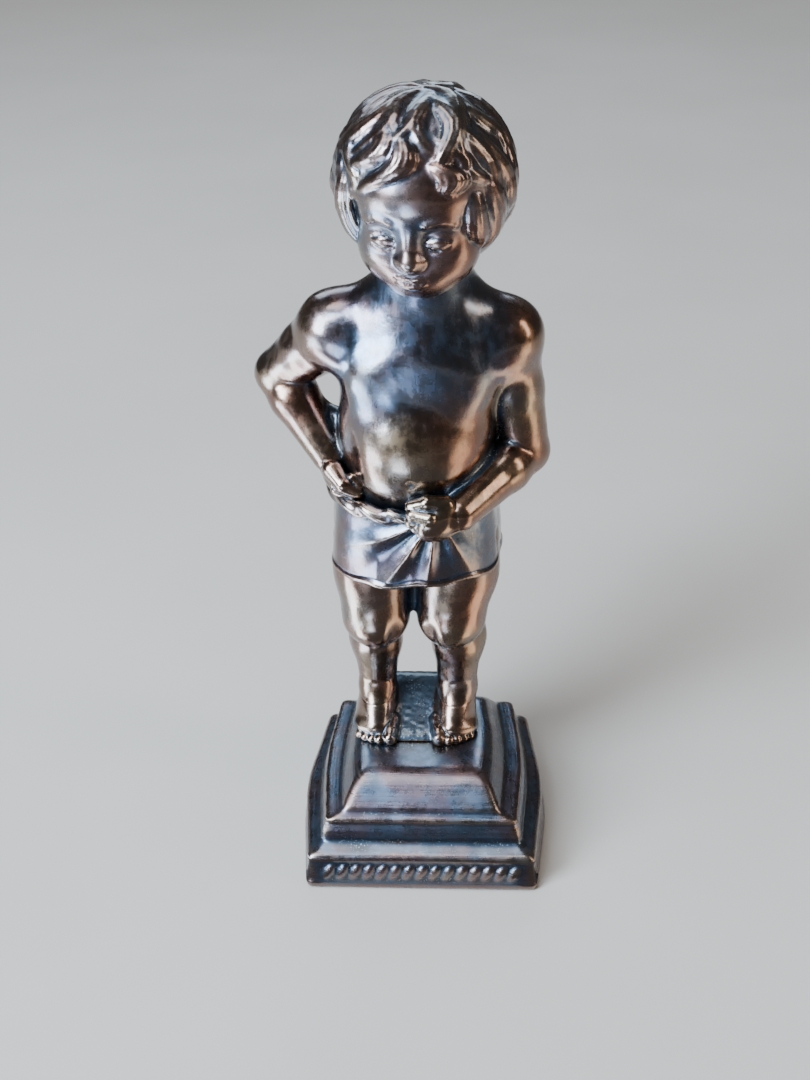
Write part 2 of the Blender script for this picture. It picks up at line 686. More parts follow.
def sculpt_eye(head, on, side):
    """Closed eye under a plain brow."""
    head.carve(on.ball((side * 2.8, -9.0, -0.5), (2.0, 1.3, 1.2)), 2.6)
    eye = EYE * vec(side, 1.0, 1.0)
    head.add(on.ball(eye, EYE_RADII), 0.7)
    across = np.linspace(-EYE_HALF_WIDTH, EYE_HALF_WIDTH, 11)
    bow = (across / EYE_HALF_WIDTH) ** 2
    lashes = on.on_front(eye[0] + side * across, eye[2] - 0.6 + 0.35 * bow)
    crease = on.on_front(eye[0] + side * across, eye[2] + 0.75 - 0.45 * bow)
    on.path(lashes, 0.10 + 0.07 * (1.0 - bow), 0.14, carve=True)
    on.path(crease, 0.08 + 0.06 * (1.0 - bow), 0.3, carve=True)
    along = np.linspace(0.0, 1.0, 9)
    brow = on.on_front(side * (1.9 + 2.6 * along), 1.2 + 0.5 * np.sin(math.pi * along) - 0.4 * along, -0.2)
    on.path(brow, np.linspace(0.3, 0.2, 9), 0.8)


def sculpt_face(head):
    """A calm child's face on plain proportions, with the eyes closed."""
    on = Placed(head)
    for centre, radii, width in FACE:
        head.add(on.ball(centre, radii), width)
    for side in (-1.0, 1.0):
        sculpt_eye(head, on, side)
    head.add(on.limb((0.0, -6.8, 0.2), 0.7, (0.0, -7.9, -2.7), 0.8), 1.4)
    head.add(on.ball((0.0, -8.3, -2.95), (0.85, 0.8, 0.75)), 0.9)
    for side in (-1.0, 1.0):
        head.add(on.ball((side * 0.85, -7.6, -3.15), (0.6, 0.65, 0.5)), 0.6)
    across = np.linspace(-1.0, 1.0, 13)
    full = 1.0 - across ** 2
    dip = 0.12 * np.cos(2.0 * math.pi * across) * full
    upper = on.on_front(1.55 * across, -4.95 - 0.1 * full - dip, -0.12)
    lower = on.on_front(1.3 * across, -5.6 - 0.25 * full, -0.08)
    seam = on.on_front(1.75 * across, -5.15 - 0.1 * full, 0.22)
    on.path(upper, 0.16 + 0.2 * full, 0.3)
    on.path(lower, 0.16 + 0.26 * full, 0.35)
    on.path(seam, [0.13] * 13, 0.12, carve=True)


# Rows of locks: degrees from the crown where they start and end, how many, and how much they sway.
LOCK_ROWS = (
    (4.0, 78.0, 12, 34.0),
    (20.0, 98.0, 15, 30.0),
    (46.0, 112.0, 17, 24.0),
    (70.0, 126.0, 19, 13.0),
    (90.0, 144.0, 21, 11.0),
    (112.0, 147.0, 19, 9.0),
)
FACE_HALF_ANGLE = 46.0          # degrees either side of the nose that the low hair leaves open
FRINGE_END = 84.0               # degrees from the crown where the fringe stops


def scalp_point(polar, bearing, lift):
    """Point over the scalp, in the head's frame; bearing 0 is over the nose."""
    p, b = math.radians(polar), math.radians(bearing)
    towards = vec(math.sin(p) * math.sin(b), -math.sin(p) * math.cos(b), math.cos(p))
    towards = rotation(x=-CROWN_TILT) @ towards
    scalp = SKULL_CENTRE + SKULL_RADII * towards
    low_back = ramp(-towards[2], 0.15, 0.75) * ramp(towards[1], -0.1, 0.5)
    nape = NAPE_CENTRE + NAPE_RADII * towards * 1.02
    return scalp + low_back * (nape - scalp) + lift * towards


# Where the cap under the hair ends, by a direction and a point, and how softly it is cut and joined.
CAP_ENDS = (
    ((0.0, -0.42, -0.91), (0.0, -7.0, 2.9), 0.8, 0.3),      # over the brow
    ((0.0, -1.0, -0.25), (0.0, -4.0, -1.0), 2.2, 0.9),      # behind the ears
)

# Limits of what is drawn for each lock: its place in the row, its ends and its sweep in degrees,
# its thickness beside LOCK_RADIUS, and its height over the scalp.
ROW_DRIFT = (-0.22, 0.22)
START_DRIFT, END_DRIFT, FRINGE_DRIFT = (-4.0, 4.0), (-6.0, 6.0), (-7.0, 3.0)
SWEEP, THICKNESS, RISE = (6.0, 20.0), (0.8, 1.2), (-0.05, 0.45)
SHORTEST_LOCK = 18.0


def sculpt_hair(head, draw):
    """Short wavy locks combed from the crown, three strands to each."""
    on = Placed(head)
    cap = on.ball(SKULL_CENTRE, SKULL_RADII + 0.25)
    for direction, point, softness, width in CAP_ENDS:
        facing = on.turn @ vec(*direction)
        head.add(limited(cap, facing, facing @ on.at(point), softness), width)
    head.add(on.ball(NAPE_CENTRE, NAPE_RADII), 0.8)
    for start, end, count, sway in LOCK_ROWS:
        turn = draw.uniform(0.0, 360.0)
        for lock in range(count):
            place = (lock + draw.uniform(*ROW_DRIFT)) / count
            bearing = (turn + 360.0 * place + 180.0) % 360.0 - 180.0
            first = start + draw.uniform(*START_DRIFT)
            last = end + draw.uniform(*END_DRIFT)
            if abs(bearing) < FACE_HALF_ANGLE:
                last = min(last, FRINGE_END + draw.uniform(*FRINGE_DRIFT))
            if last - first < SHORTEST_LOCK:
                continue
            sweep = math.copysign(draw.uniform(*SWEEP), bearing)
            phase = draw.uniform(0.0, 2.0 * math.pi)
            thick = LOCK_RADIUS * draw.uniform(*THICKNESS)
            rise = draw.uniform(*RISE)
            lock_path(on, first, last, bearing, sweep, sway, phase, thick, rise)


# Strands of a lock: how far to the side, how thick and how low, beside the lock's own thickness.
STRANDS = tuple((0.95 * k, 0.74 - 0.05 * abs(k), 0.08 * k * k) for k in range(-3, 4))
LOCK_STEPS = 11
WAVES = 5.2                     # radians of wave along a lock
STRAND_GAP = 0.8                # between two strands, beside the lock's thickness
STRAND_END = 0.16               # least radius, and the width of the join
SCALP_RADIUS, DEGREES = 8.6, 57.3


def lock_path(on, first, last, bearing, sweep, sway, phase, thick, rise):
    """One lock: strands side by side that swell, sway and run to a point together."""
    for side, size, lower in STRANDS:
        points, radii = [], []
        for share in np.linspace(0.0, 1.0, LOCK_STEPS):
            polar = first + (last - first) * share
            around = max(math.sin(math.radians(polar)), 0.3)
            swing = sway * math.sin(phase + WAVES * share) * (0.3 + 0.7 * share) * 0.5 / around
            width = 0.45 + 0.55 * math.sin(math.pi * (0.1 + 0.75 * share))
            spread = side * thick * STRAND_GAP * width / (SCALP_RADIUS * around) * DEGREES
            lift = -0.1 + rise + 0.5 * math.sin(math.pi * min(share * 1.1, 1.0)) - lower * width
            points.append(scalp_point(polar, bearing + sweep * share + swing + spread, lift))
            taper = (0.55 + 0.45 * width) * (1.0 - 0.6 * share ** 4)
            radii.append(max(thick * size * taper, STRAND_END))
        on.path(points, radii, STRAND_END)


HEAD_LOW = vec(-10.2, -9.8, 70.4)
HEAD_HIGH = vec(12.6, 13.2, FIGURE_TOP + 1.0)


def sculpt_head():
    head = Sculpt(HEAD_LOW, HEAD_HIGH, HEAD_STEP, 3.0)
    sculpt_face(head)
    sculpt_hair(head, np.random.RandomState(21))
    head.add(limb(NECK_TOP - vec(0.0, 0.0, 1.5), 3.6, HEAD_CENTRE, 3.6), 0.5)
    return head


# ---- Plinth ----

# Outline at a height: (z, front y, rear y, half width at the front, at y = 0 and at the rear).
PLINTH_OUTLINES = (
    (0.15, -14.2, 14.2, 14.2, 15.9, 13.9),
    (5.3, -13.9, 13.8, 13.8, 15.2, 13.4),
    (6.2, -12.1, 12.3, 12.2, 13.3, 12.0),
    (9.2, -11.4, 11.7, 11.4, 12.4, 11.3),
    (10.0, -10.9, 11.0, 9.7, 10.5, 9.4),
    (13.0, -7.2, 8.6, 7.8, 8.6, 7.6),
    (14.0, -6.0, 7.8, 7.2, 8.0, 7.0),
)
# Mouldings as bumps on the outline: (height, how far out, half height)
MOULDINGS = (
    (0.9, 0.16, 0.35),
    (4.75, 0.2, 0.28),
    (5.75, -0.2, 0.4),
    (7.5, 0.22, 1.3),
    (9.0, 0.24, 0.26),
    (9.75, -0.25, 0.3),
)
MOULDING_BLUR = 0.3
LEVEL_STEP, LEVEL_MARGIN = 0.05, 40     # millimetres between levels, levels added at each end
LOBE_COUNT = 15
LOBE_RADII = (0.78, 0.8, 1.5)
LOBE_SLANT = 28.0
BAND_HALF_WIDTH = 11.4
BAND_HEIGHT = 2.8
LOBE_Y = -13.72
RECESS_INSET, RECESS_TOP = 1.5, 2.4
HOLLOW_INSET, HOLLOW_TOP = 2.4, 8.0
WELL_HALF, WELL_Y, WELL_TOP = (7.1, 6.5), 0.5, 11.2     # room for the foot screws
PLINTH_CORNER, PLATFORM_ROUNDING, FOOT_ROUNDING, INNER_ROUNDING = 0.9, 1.5, 0.3, 0.2
FELT_STEP, FELT_CORNER = 0.25, 0.4


def outline_numbers(heights):
    """The five outline numbers at each height, with the mouldings, softened over a short height."""
    fine = np.arange(-2.0, 17.0, LEVEL_STEP)
    levels = np.array(PLINTH_OUTLINES)
    out = np.zeros_like(fine)
    for height, amount, half in MOULDINGS:
        out += amount * np.exp(-((fine - height) / half) ** 2)
    blur = int(MOULDING_BLUR / LEVEL_STEP)
    window = np.ones(blur) / blur
    numbers = []
    for column, sign in zip(range(1, 6), (-1.0, 1.0, 1.0, 1.0, 1.0)):
        line = np.interp(fine, levels[:, 0], levels[:, column]) + sign * out
        padded = np.pad(line, LEVEL_MARGIN, mode="edge")
        line = np.convolve(padded, window, mode="same")[LEVEL_MARGIN:-LEVEL_MARGIN]
        numbers.append(np.interp(heights, fine, line))
    return numbers


def six_sided(x, y, numbers, rounding):
    """Distance to the side faces of an outline given by its five numbers at each height."""
    front, rear, wide_front, wide_middle, wide_rear = numbers
    middle = 0.0 * front
    corners = [
        (-wide_front, front), (wide_front, front), (wide_middle, middle),
        (wide_rear, rear), (-wide_rear, rear), (-wide_middle, middle),
    ]
    side = np.full((x.size, y.size, front.size), -FAR)
    for start, end in zip(corners, corners[1:] + corners[:1]):
        along_x, along_y = end[0] - start[0], end[1] - start[1]
        beyond = ((x - start[0]) * along_y - (y - start[1]) * along_x) / np.hypot(along_x, along_y)
        side = smooth_max(side, beyond, rounding)
    return side


def sculpt_plinth():
    """Hollow stepped plinth with a rope band on its front face."""
    plinth = Sculpt((-17.0, -15.4, -0.6), (17.0, 15.2, PLATFORM + 0.8), PLINTH_STEP)
    x, y, z = plinth.grid()
    side = six_sided(x, y, outline_numbers(z), PLINTH_CORNER)
    solid = smooth_max(side, z - PLATFORM, PLATFORM_ROUNDING)
    recess = smooth_max(side + RECESS_INSET, z - RECESS_TOP, INNER_ROUNDING)
    hollow = smooth_max(side + HOLLOW_INSET, z - HOLLOW_TOP, INNER_ROUNDING)
    well_side = smooth_max(np.abs(x) - WELL_HALF[0], np.abs(y - WELL_Y) - WELL_HALF[1], 0.5)
    well = smooth_max(well_side, z - WELL_TOP, INNER_ROUNDING)
    solid = smooth_max(solid, -np.minimum(np.minimum(recess, hollow), well), 0.1)
    plinth.field = smooth_max(solid, PLINTH_LOW[2] - z, FOOT_ROUNDING).astype(np.float32)
    turn = rotation(y=LOBE_SLANT)
    for across in np.linspace(-BAND_HALF_WIDTH, BAND_HALF_WIDTH, LOBE_COUNT):
        plinth.add(ball(vec(across, LOBE_Y, BAND_HEIGHT), LOBE_RADII, turn), 0.18)
    return plinth


def sculpt_felt():
    """Pad in the outline of the plinth's foot, drawn in."""
    low, high = box_mm("felt_pad")
    felt = Sculpt(low - 0.6, high + 0.6, FELT_STEP)
    x, y, z = felt.grid()
    _, front, *others = PLINTH_OUTLINES[0]
    inset = low[1] - front
    numbers = [front + inset] + [number - inset for number in others]
    side = six_sided(x, y, [number + 0.0 * z for number in numbers], FELT_CORNER)
    solid = smooth_max(side, z - high[2], 0.1)
    felt.field = smooth_max(solid, low[2] - z, 0.35).astype(np.float32)
    return felt


# ---- From grids to objects ----

FREE = (-FAR, 0.0)                     # ground of a piece that does not rest on anything
FINE_AREA, WIDE_AREA = 0.07, 0.55      # square millimetres over which hollows are judged
NEAR_CELLS, FAR_CELLS = 2, 5           # coarse cells over which shelter is judged
NEAR_LIFT, FAR_LIFT = 0.7, 1.6         # and how far above the surface, in millimetres
SHELTER_STEP = 0.5
SHELTER_LOW = vec(-22.0, -18.0, -3.0)
SHELTER_HIGH = vec(20.0, 18.0, 98.0)


def occupancy(sculpts):
    """Which cells of a coarse grid round the whole figurine are filled."""
    counts = np.ceil((SHELTER_HIGH - SHELTER_LOW) / SHELTER_STEP).astype(int)
    filled = np.zeros(counts, dtype=np.float32)
    axes = [SHELTER_LOW[i] + SHELTER_STEP * np.arange(counts[i]) for i in range(3)]
    for sculpt in sculpts:
        picks = []
        targets = []
        for axis, grid in zip(axes, sculpt.axes):
            inside = np.where((axis >= grid[0]) & (axis <= grid[-1]))[0]
            targets.append(slice(inside[0], inside[-1] + 1))
            picks.append(np.round((axis[inside] - grid[0]) / sculpt.step).astype(int))
        part = sculpt.field[np.ix_(*picks)] < 0.0
        filled[tuple(targets)] = np.maximum(filled[tuple(targets)], part)
    return filled


def blurred(grid, cells):
    """Two running means along each axis."""
    for axis in range(3):
        for _ in range(2):
            edge = [(0, 0)] * 3
            edge[axis] = (cells + 1, cells)
            total = np.cumsum(np.pad(grid, edge), axis=axis)
            size = grid.shape[axis]
            upper = np.take(total, np.arange(2 * cells + 1, 2 * cells + 1 + size), axis=axis)
            lower = np.take(total, np.arange(size), axis=axis)
            grid = (upper - lower) / (2 * cells + 1)
    return grid


def sampled(grid, points):
    """Values of the coarse grid between its points."""
    at = (points - SHELTER_LOW) / SHELTER_STEP
    at = np.clip(at, 0.0, np.array(grid.shape) - 1.001)
    cell = np.floor(at).astype(int)
    return between_cells(grid, cell, at - cell)


def add_object(name, data):
    made = bpy.data.objects.new(name, data)
    bpy.context.scene.collection.objects.link(made)
    return made


def make_mesh(name, vertices, quads, attributes, material):
    mesh = bpy.data.meshes.new(name)
    mesh.vertices.add(len(vertices))
    mesh.vertices.foreach_set("co", (vertices * MM).astype(np.float32).ravel())
    mesh.loops.add(quads.size)
    mesh.loops.foreach_set("vertex_index", quads.astype(np.int32).ravel())
    mesh.polygons.add(len(quads))
    mesh.polygons.foreach_set("loop_start", np.arange(0, quads.size, 4, dtype=np.int32))
    mesh.update(calc_edges=True)
    mesh.validate()
    for key, values in attributes.items():
        layer = mesh.attributes.new(key, "FLOAT", "POINT")
        layer.data.foreach_set("value", values.astype(np.float32))
    mesh.materials.append(material)
    mesh.shade_smooth()
    return add_object(name, mesh)


def stand_in(piece, node):
    """Let a piece ride on the figurine in place of a CAD node."""
    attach(piece, "root")
    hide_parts(node)


def cast_piece(name, sculpt, rounds, texture, filled, material, node, ground):
    """Mesh a sculpt, give it the texture of a casting, and record how sheltered each point is.

    ground is the height that the piece rests on, and how far above it the surface is kept plain.
    """
    vertices, quads = sculpt.surface()
    flat = vertices[:, 2] < sum(ground)
    vertices = smoothed(vertices, quads, rounds)
    normals = normals_of(vertices, quads)
    relief = texture(vertices)
    relief[flat] = 0.0
    vertices = vertices + normals * relief[:, None]
    vertices[flat, 2] = np.maximum(vertices[flat, 2], ground[0])
    fine = hollowness(vertices, quads, normals, max(1, round(FINE_AREA / sculpt.step ** 2)))
    wide = hollowness(vertices, quads, normals, round(WIDE_AREA / sculpt.step ** 2))
    near, far = filled
    shelter = 0.5 * sampled(near, vertices + NEAR_LIFT * normals)
    shelter += 0.5 * sampled(far, vertices + FAR_LIFT * normals)
    attributes = {"fine_hollow": fine, "wide_hollow": wide, "shelter": shelter}
    if name == "feet_and_ground":
        attributes["soil"] = ground_share(vertices)
    attributes["bloom"] = bloom(name, vertices)
    stand_in(make_mesh(name, vertices, quads, attributes, material), node)


# Relief of each surface, as layers of noise: height and size in millimetres.
SKIN = ((0.05, 5.0), (0.018, 1.7), (0.006, 0.6))
CLOTH = ((0.03, 3.0), (0.015, 1.1), (0.006, 0.5))
GRAINS = ((0.035, 0.45), (0.03, 1.1))
DENTS = ((0.05, 6.0), (0.022, 1.8))
LINES, LINE_STRETCH = ((0.014, 0.45),), vec(0.06, 0.06, 1.0)
FLUFF, FLUFF_ROOM = ((0.05, 0.7), (0.05, 0.35)), 0.06


def layered(points, layers):
    return sum(height * noise(points, size) for height, size in layers)


def skin_texture(points):
    """Shallow waves and pits left by casting and buffing."""
    return layered(points, SKIN)


# Outline of a foot seen from above: its middle beyond the ball of the foot, and its two radii.
FOOT_MIDDLE, FOOT_OUTLINE = (0.1, 2.2), (3.1, 7.2)
ANKLE_OUTLINE = 2.9


def ground_share(points):
    """1 on the rough ground, 0 on the toes, the feet and the ankles."""
    x, y = points[:, 0], points[:, 1]
    on_foot = np.zeros(len(points))
    for side, out in OUTWARD.items():
        middle_x = BALL_OF_FOOT[side][0] + out * FOOT_MIDDLE[0]
        middle_y = BALL_OF_FOOT[side][1] + FOOT_MIDDLE[1]
        foot = np.hypot((x - middle_x) / FOOT_OUTLINE[0], (y - middle_y) / FOOT_OUTLINE[1])
        leg = np.hypot(x - ANKLE[side][0], y - ANKLE[side][1]) / ANKLE_OUTLINE
        on_foot = np.maximum(on_foot, 1.0 - ramp(np.minimum(foot, leg), 0.8, 1.0))
    return 1.0 - on_foot


# How much of each piece the blue-grey patina covers, and what the upper chest and the ground add.
PATINA_SHARE = {"head": 0.4, "hip_wrap": 0.5, "feet_and_ground": 0.1, "plinth": 1.05}
BARE_SHARE, ADDED_SHARE = 0.1, 0.8
CHEST_RISE, CHEST_EDGE = (57.0, 67.0), (8.0, 12.5)


def bloom(name, points):
    """Share of blue-grey patina: most of it on the upper chest, the ground and the plinth."""
    share = np.full(len(points), PATINA_SHARE.get(name, BARE_SHARE))
    if name == "body":
        on_trunk = 1.0 - ramp(np.abs(points[:, 0]), *CHEST_EDGE)
        share += ADDED_SHARE * ramp(points[:, 2], *CHEST_RISE) * on_trunk
    if name == "feet_and_ground":
        share += ADDED_SHARE * ground_share(points)
    return share


def ground_texture(points):
    return 0.5 * skin_texture(points) + layered(points, GRAINS) * ground_share(points)


def cloth_texture(points):
    return layered(points, CLOTH)


def plinth_texture(points):
    """Small dents, and buffing lines along the faces."""
    return layered(points, DENTS) + layered(points * LINE_STRETCH, LINES)


# ---- Materials ----


class Shading:
    """A material's nodes, with short ways to add and join the kinds used here."""

    def __init__(self, name):
        self.material = bpy.data.materials.new(name)
        self.material.use_nodes = True
        self.tree = self.material.node_tree
        self.shader = self.tree.nodes["Principled BSDF"]
        self.place = self.node("ShaderNodeTexCoord").outputs["Object"]

    def node(self, kind, inputs=None, **settings):
        made = self.tree.nodes.new(kind)
        for key, value in settings.items():
            setattr(made, key, value)
        for key, value in (inputs or {}).items():
            self.put(made.inputs[key], value)
        return made

    def put(self, socket, value):
        """Link an output to a socket, or set the socket's value."""
        if isinstance(value, bpy.types.NodeSocket):
            self.tree.links.new(value, socket)
        else:
            socket.default_value = value

    def attribute(self, name):
        return self.node("ShaderNodeAttribute", attribute_name=name).outputs["Fac"]

    def stretched(self, scale):
        return self.node("ShaderNodeMapping", {"Vector": self.place, "Scale": scale}).outputs["Vector"]

    def noise(self, scale, detail=3.0, roughness=0.55, vector=None):
        """Noise from 0 to 1; scale is cycles to the metre."""
        place = vector or self.place
        inputs = {"Vector": place, "Scale": scale, "Detail": detail, "Roughness": roughness}
        return self.node("ShaderNodeTexNoise", inputs).outputs["Fac"]

    def plus(self, first, second):
        return self.node("ShaderNodeMath", {0: first, 1: second}, operation="ADD").outputs[0]

    def times(self, first, second):
        return self.node("ShaderNodeMath", {0: first, 1: second}, operation="MULTIPLY").outputs[0]

    def blend(self, first, first_weight, second, second_weight):
        return self.plus(self.times(first, first_weight), self.times(second, second_weight))

    def patches(self, scale, detail, low, high, bottom=0.0, top=1.0):
        """Noise hardened into patches with soft edges."""
        return self.rise(self.noise(scale, detail), low, high, bottom, top)

    def rise(self, value, low, high, bottom=0.0, top=1.0):
        """Smooth step of a value between low and high."""
        inputs = {"Value": value, "From Min": low, "From Max": high, "To Min": bottom, "To Max": top}
        return self.node("ShaderNodeMapRange", inputs, interpolation_type="SMOOTHSTEP").outputs[0]

    def mix(self, share, first, second):
        made = self.node("ShaderNodeMix", data_type="RGBA")
        self.put(made.inputs["Factor"], share)
        colours = [socket for socket in made.inputs if socket.type == "RGBA"]
        for socket, value in zip(colours, (first, second)):
            self.put(socket, (*value, 1.0) if isinstance(value, tuple) else value)
        return next(socket for socket in made.outputs if socket.type == "RGBA")

    def bump(self, height, strength, depth, under=None):
        """Bump whose height runs over depth, in metres."""
        made = self.node("ShaderNodeBump", {"Height": height, "Strength": strength, "Distance": depth})
        if under is not None:
            self.put(made.inputs["Normal"], under)
        return made.outputs["Normal"]

    def finish(self, **inputs):
        """Set the shader's inputs, their names written with low lines for spaces."""
        for key, value in inputs.items():
            self.put(self.shader.inputs[key.replace("_", " ")], value)
        return self.material


COPPER = (0.200, 0.116, 0.074)
RED_COPPER = (0.165, 0.074, 0.045)
GOLD_COPPER = (0.185, 0.130, 0.074)
EDGE_COPPER = (0.42, 0.26, 0.17)
BROWN_PATINA = (0.017, 0.010, 0.007)
BLUE_PATINA = (0.013, 0.023, 0.036)
TINT_BLUE = (0.052, 0.088, 0.140)
TINT_VIOLET = (0.082, 0.064, 0.092)
SOIL_BLUE = (0.045, 0.062, 0.080)
BRIGHT_SPECK = (0.50, 0.50, 0.52)


def copper_material(name, lines=None, darkness=0.0, line_strength=0.25, dullness=0.0):
    """Copper plate darkened in its hollows and buffed bright on its high places."""
    look = Shading(name)
    shelter, fine, wide = (look.attribute(key) for key in ("shelter", "fine_hollow", "wide_hollow"))
    blotches = look.noise(130.0, 4.0)
    cloud = look.noise(420.0, 5.0, 0.62)
    grain = look.noise(2600.0, 3.0, 0.6)

    sheltered = look.times(shelter, 1.9)
    hollow = look.blend(fine, 9.0, wide, 2.2)
    dirt = look.plus(look.plus(sheltered, hollow), look.attribute("soil"))
    unevenness = look.blend(cloud, 0.7, blotches, 0.6)
    dirt = look.plus(look.plus(dirt, unevenness), darkness - 0.65)
    patina = look.rise(dirt, 0.5, 1.0)

    metal = look.mix(look.rise(blotches, 0.36, 0.6), RED_COPPER, COPPER)
    metal = look.mix(look.patches(95.0, 2.0, 0.46, 0.64, 0.0, 0.7), metal, GOLD_COPPER)
    tint = look.mix(look.patches(160.0, 2.0, 0.46, 0.62), TINT_BLUE, TINT_VIOLET)
    spread = look.plus(look.times(look.attribute("bloom"), 0.75), blotches)
    tinted = look.times(look.rise(dirt, 0.1, 0.6, 0.35, 1.0), look.rise(spread, 0.5, 0.95, 0.0, 0.9))
    metal = look.mix(tinted, metal, tint)
    dark = look.mix(look.patches(110.0, 3.0, 0.40, 0.60), BROWN_PATINA, BLUE_PATINA)
    dark = look.mix(look.times(look.attribute("soil"), 0.8), dark, SOIL_BLUE)
    specks = look.times(look.patches(5200.0, 2.0, 0.60, 0.70), look.rise(cloud, 0.40, 0.62))
    dark = look.mix(look.times(specks, 0.6), dark, BRIGHT_SPECK)
    colour = look.mix(patina, metal, dark)
    worn = look.blend(fine, -14.0, wide, -1.2)
    worn = look.times(look.rise(worn, 0.35, 1.1), look.rise(cloud, 0.35, 0.6, 0.3, 0.8))
    colour = look.mix(worn, colour, EDGE_COPPER)

    smear = look.noise(700.0, 4.0, 0.6)
    metal_roughness = look.rise(smear, 0.3, 0.7, 0.17 + dullness, 0.30 + dullness)
    roughness = look.plus(metal_roughness, look.times(patina, 0.26))
    normal = look.bump(grain, 0.18, 0.00006)
    normal = look.bump(look.noise(900.0, 4.0), 0.2, 0.00012, normal)
    if lines is not None:
        streaks = look.noise(1.0, 4.0, 0.65, look.stretched(lines))
        normal = look.bump(streaks, line_strength, 0.00010, normal)
        roughness = look.plus(roughness, look.rise(streaks, 0.4, 0.7, -0.02, 0.08))
    return look.finish(
        Base_Color=colour, Metallic=1.0, Roughness=roughness, Normal=normal,
        Coat_Weight=0.6, Coat_IOR=1.7, Coat_Roughness=0.18 + dullness,
    )


def steel_material(name, colour, rough):
    """Turned and plated steel, faintly spotted."""
    look = Shading(name)
    spots = look.noise(900.0, 5.0)
    dulled = tuple(0.55 * part for part in colour)
    rings = look.noise(1.0, 3.0, 0.6, look.stretched((5200.0, 300.0, 5200.0)))
    return look.finish(
        Base_Color=look.mix(look.rise(spots, 0.45, 0.7), colour, dulled),
        Metallic=1.0,
        Roughness=look.rise(rings, 0.3, 0.7, rough - 0.08, rough + 0.1),
        Normal=look.bump(rings, 0.2, 0.00005),
    )


def iron_material(name):
    """Cast ballast with a sand skin and a little rust."""
    look = Shading(name)
    rust = look.patches(260.0, 5.0, 0.5, 0.68)
    skin = look.noise(1500.0, 5.0, 0.7)
    return look.finish(
        Base_Color=look.mix(rust, (0.07, 0.068, 0.066), (0.17, 0.075, 0.035)),
        Metallic=look.rise(rust, 0.0, 1.0, 0.8, 0.1),
        Roughness=look.rise(skin, 0.3, 0.7, 0.5, 0.8),
        Normal=look.bump(skin, 0.6, 0.0002),
    )


def felt_material(name):
    """Green pressed felt with loose fibres."""
    look = Shading(name)
    fibres = look.noise(2400.0, 6.0, 0.75)
    across = look.noise(1.0, 5.0, 0.7, look.stretched((5200.0, 900.0, 2000.0)))
    shade = look.blend(fibres, 0.6, across, 0.4)
    return look.finish(
        Base_Color=look.mix(look.rise(shade, 0.35, 0.65), (0.012, 0.045, 0.025), (0.03, 0.10, 0.05)),
        Roughness=0.95,
        Normal=look.bump(shade, 0.8, 0.0003),
        Sheen_Weight=0.5,
        Sheen_Roughness=0.5,
    )


# ---- Building the object ----


def build_castings():
    buffed = copper_material("buffed_copper", (700.0, 700.0, 90.0), 0.0, 0.06)
    hair = copper_material("copper_hair", None, -0.04, 0.0, 0.04)
    cloth = copper_material("copper_cloth")
    brushed = copper_material("brushed_copper", (60.0, 60.0, 3600.0), 0.14, 0.7, 0.04)
    plan = (
        ("head", sculpt_head(), 2, skin_texture, hair, "figure_casting", FREE),
        ("body", sculpt_body(), 3, skin_texture, buffed, "figure_casting", FREE),
        ("hip_wrap", sculpt_wrap(), 2, cloth_texture, cloth, "figure_casting", FREE),
        ("right_hand", sculpt_hand("right"), 2, skin_texture, buffed, "figure_casting", FREE),
        ("left_hand", sculpt_hand("left"), 2, skin_texture, buffed, "figure_casting", FREE),
        ("feet_and_ground", sculpt_feet(), 2, ground_texture, buffed, "figure_casting", (SOLE, 0.1)),
        ("plinth", sculpt_plinth(), 2, plinth_texture, brushed, "plinth_casting", (PLINTH_LOW[2], 0.3)),
    )
    cells = occupancy([row[1] for row in plan])
    filled = (blurred(cells, NEAR_CELLS), blurred(cells, FAR_CELLS))
    for name, sculpt, rounds, texture, material, node, ground in plan:
        cast_piece(name, sculpt, rounds, texture, filled, material, node, ground)
    felt = sculpt_felt()
    vertices, quads = felt.surface()
    normals = normals_of(vertices, quads)
    fluff = layered(vertices, FLUFF)
    fluff[normals[:, 2] < -0.7] *= 0.2          # the underside is pressed flat
    vertices = vertices + normals * (fluff - FLUFF_ROOM)[:, None]
    stand_in(make_mesh("felt", vertices, quads, {}, felt_material("green_felt")), "felt_pad")


def dress_cad_nodes():
    """Give the nodes that stay as CAD their finished materials."""
    zinc = steel_material("zinc_plated_steel", (0.56, 0.57, 0.55), 0.34)
    looks = {
        "base_plate": steel_material("rolled_plate_steel", (0.42, 0.42, 0.43), 0.42),
        "ballast_block": iron_material("cast_iron"),
    }
    replaced = ("figure_casting", "plinth_casting", "felt_pad")
    for name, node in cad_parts.items():
        if name in replaced:
            continue
        look = looks.get(name, zinc)
        for slot in node.material_slots:
            slot.material = look


# ---- Stage ----


FLOOR_HALF_SIDE = 1.6                            # metres
FLOOR_FADE_START, FLOOR_FADE_END = 0.3, 0.8      # metres from the middle
FLOOR_COLOURS = ((0.42, 0.355, 0.30), (0.45, 0.38, 0.325))


def add_staged(name, mesh, material):
    mesh.materials.append(material)
    made = add_object(name, mesh)
    return made


def flat_mesh(name, points, faces):
    mesh = bpy.data.meshes.new(name)
    mesh.from_pydata(points, [], faces)
    return mesh


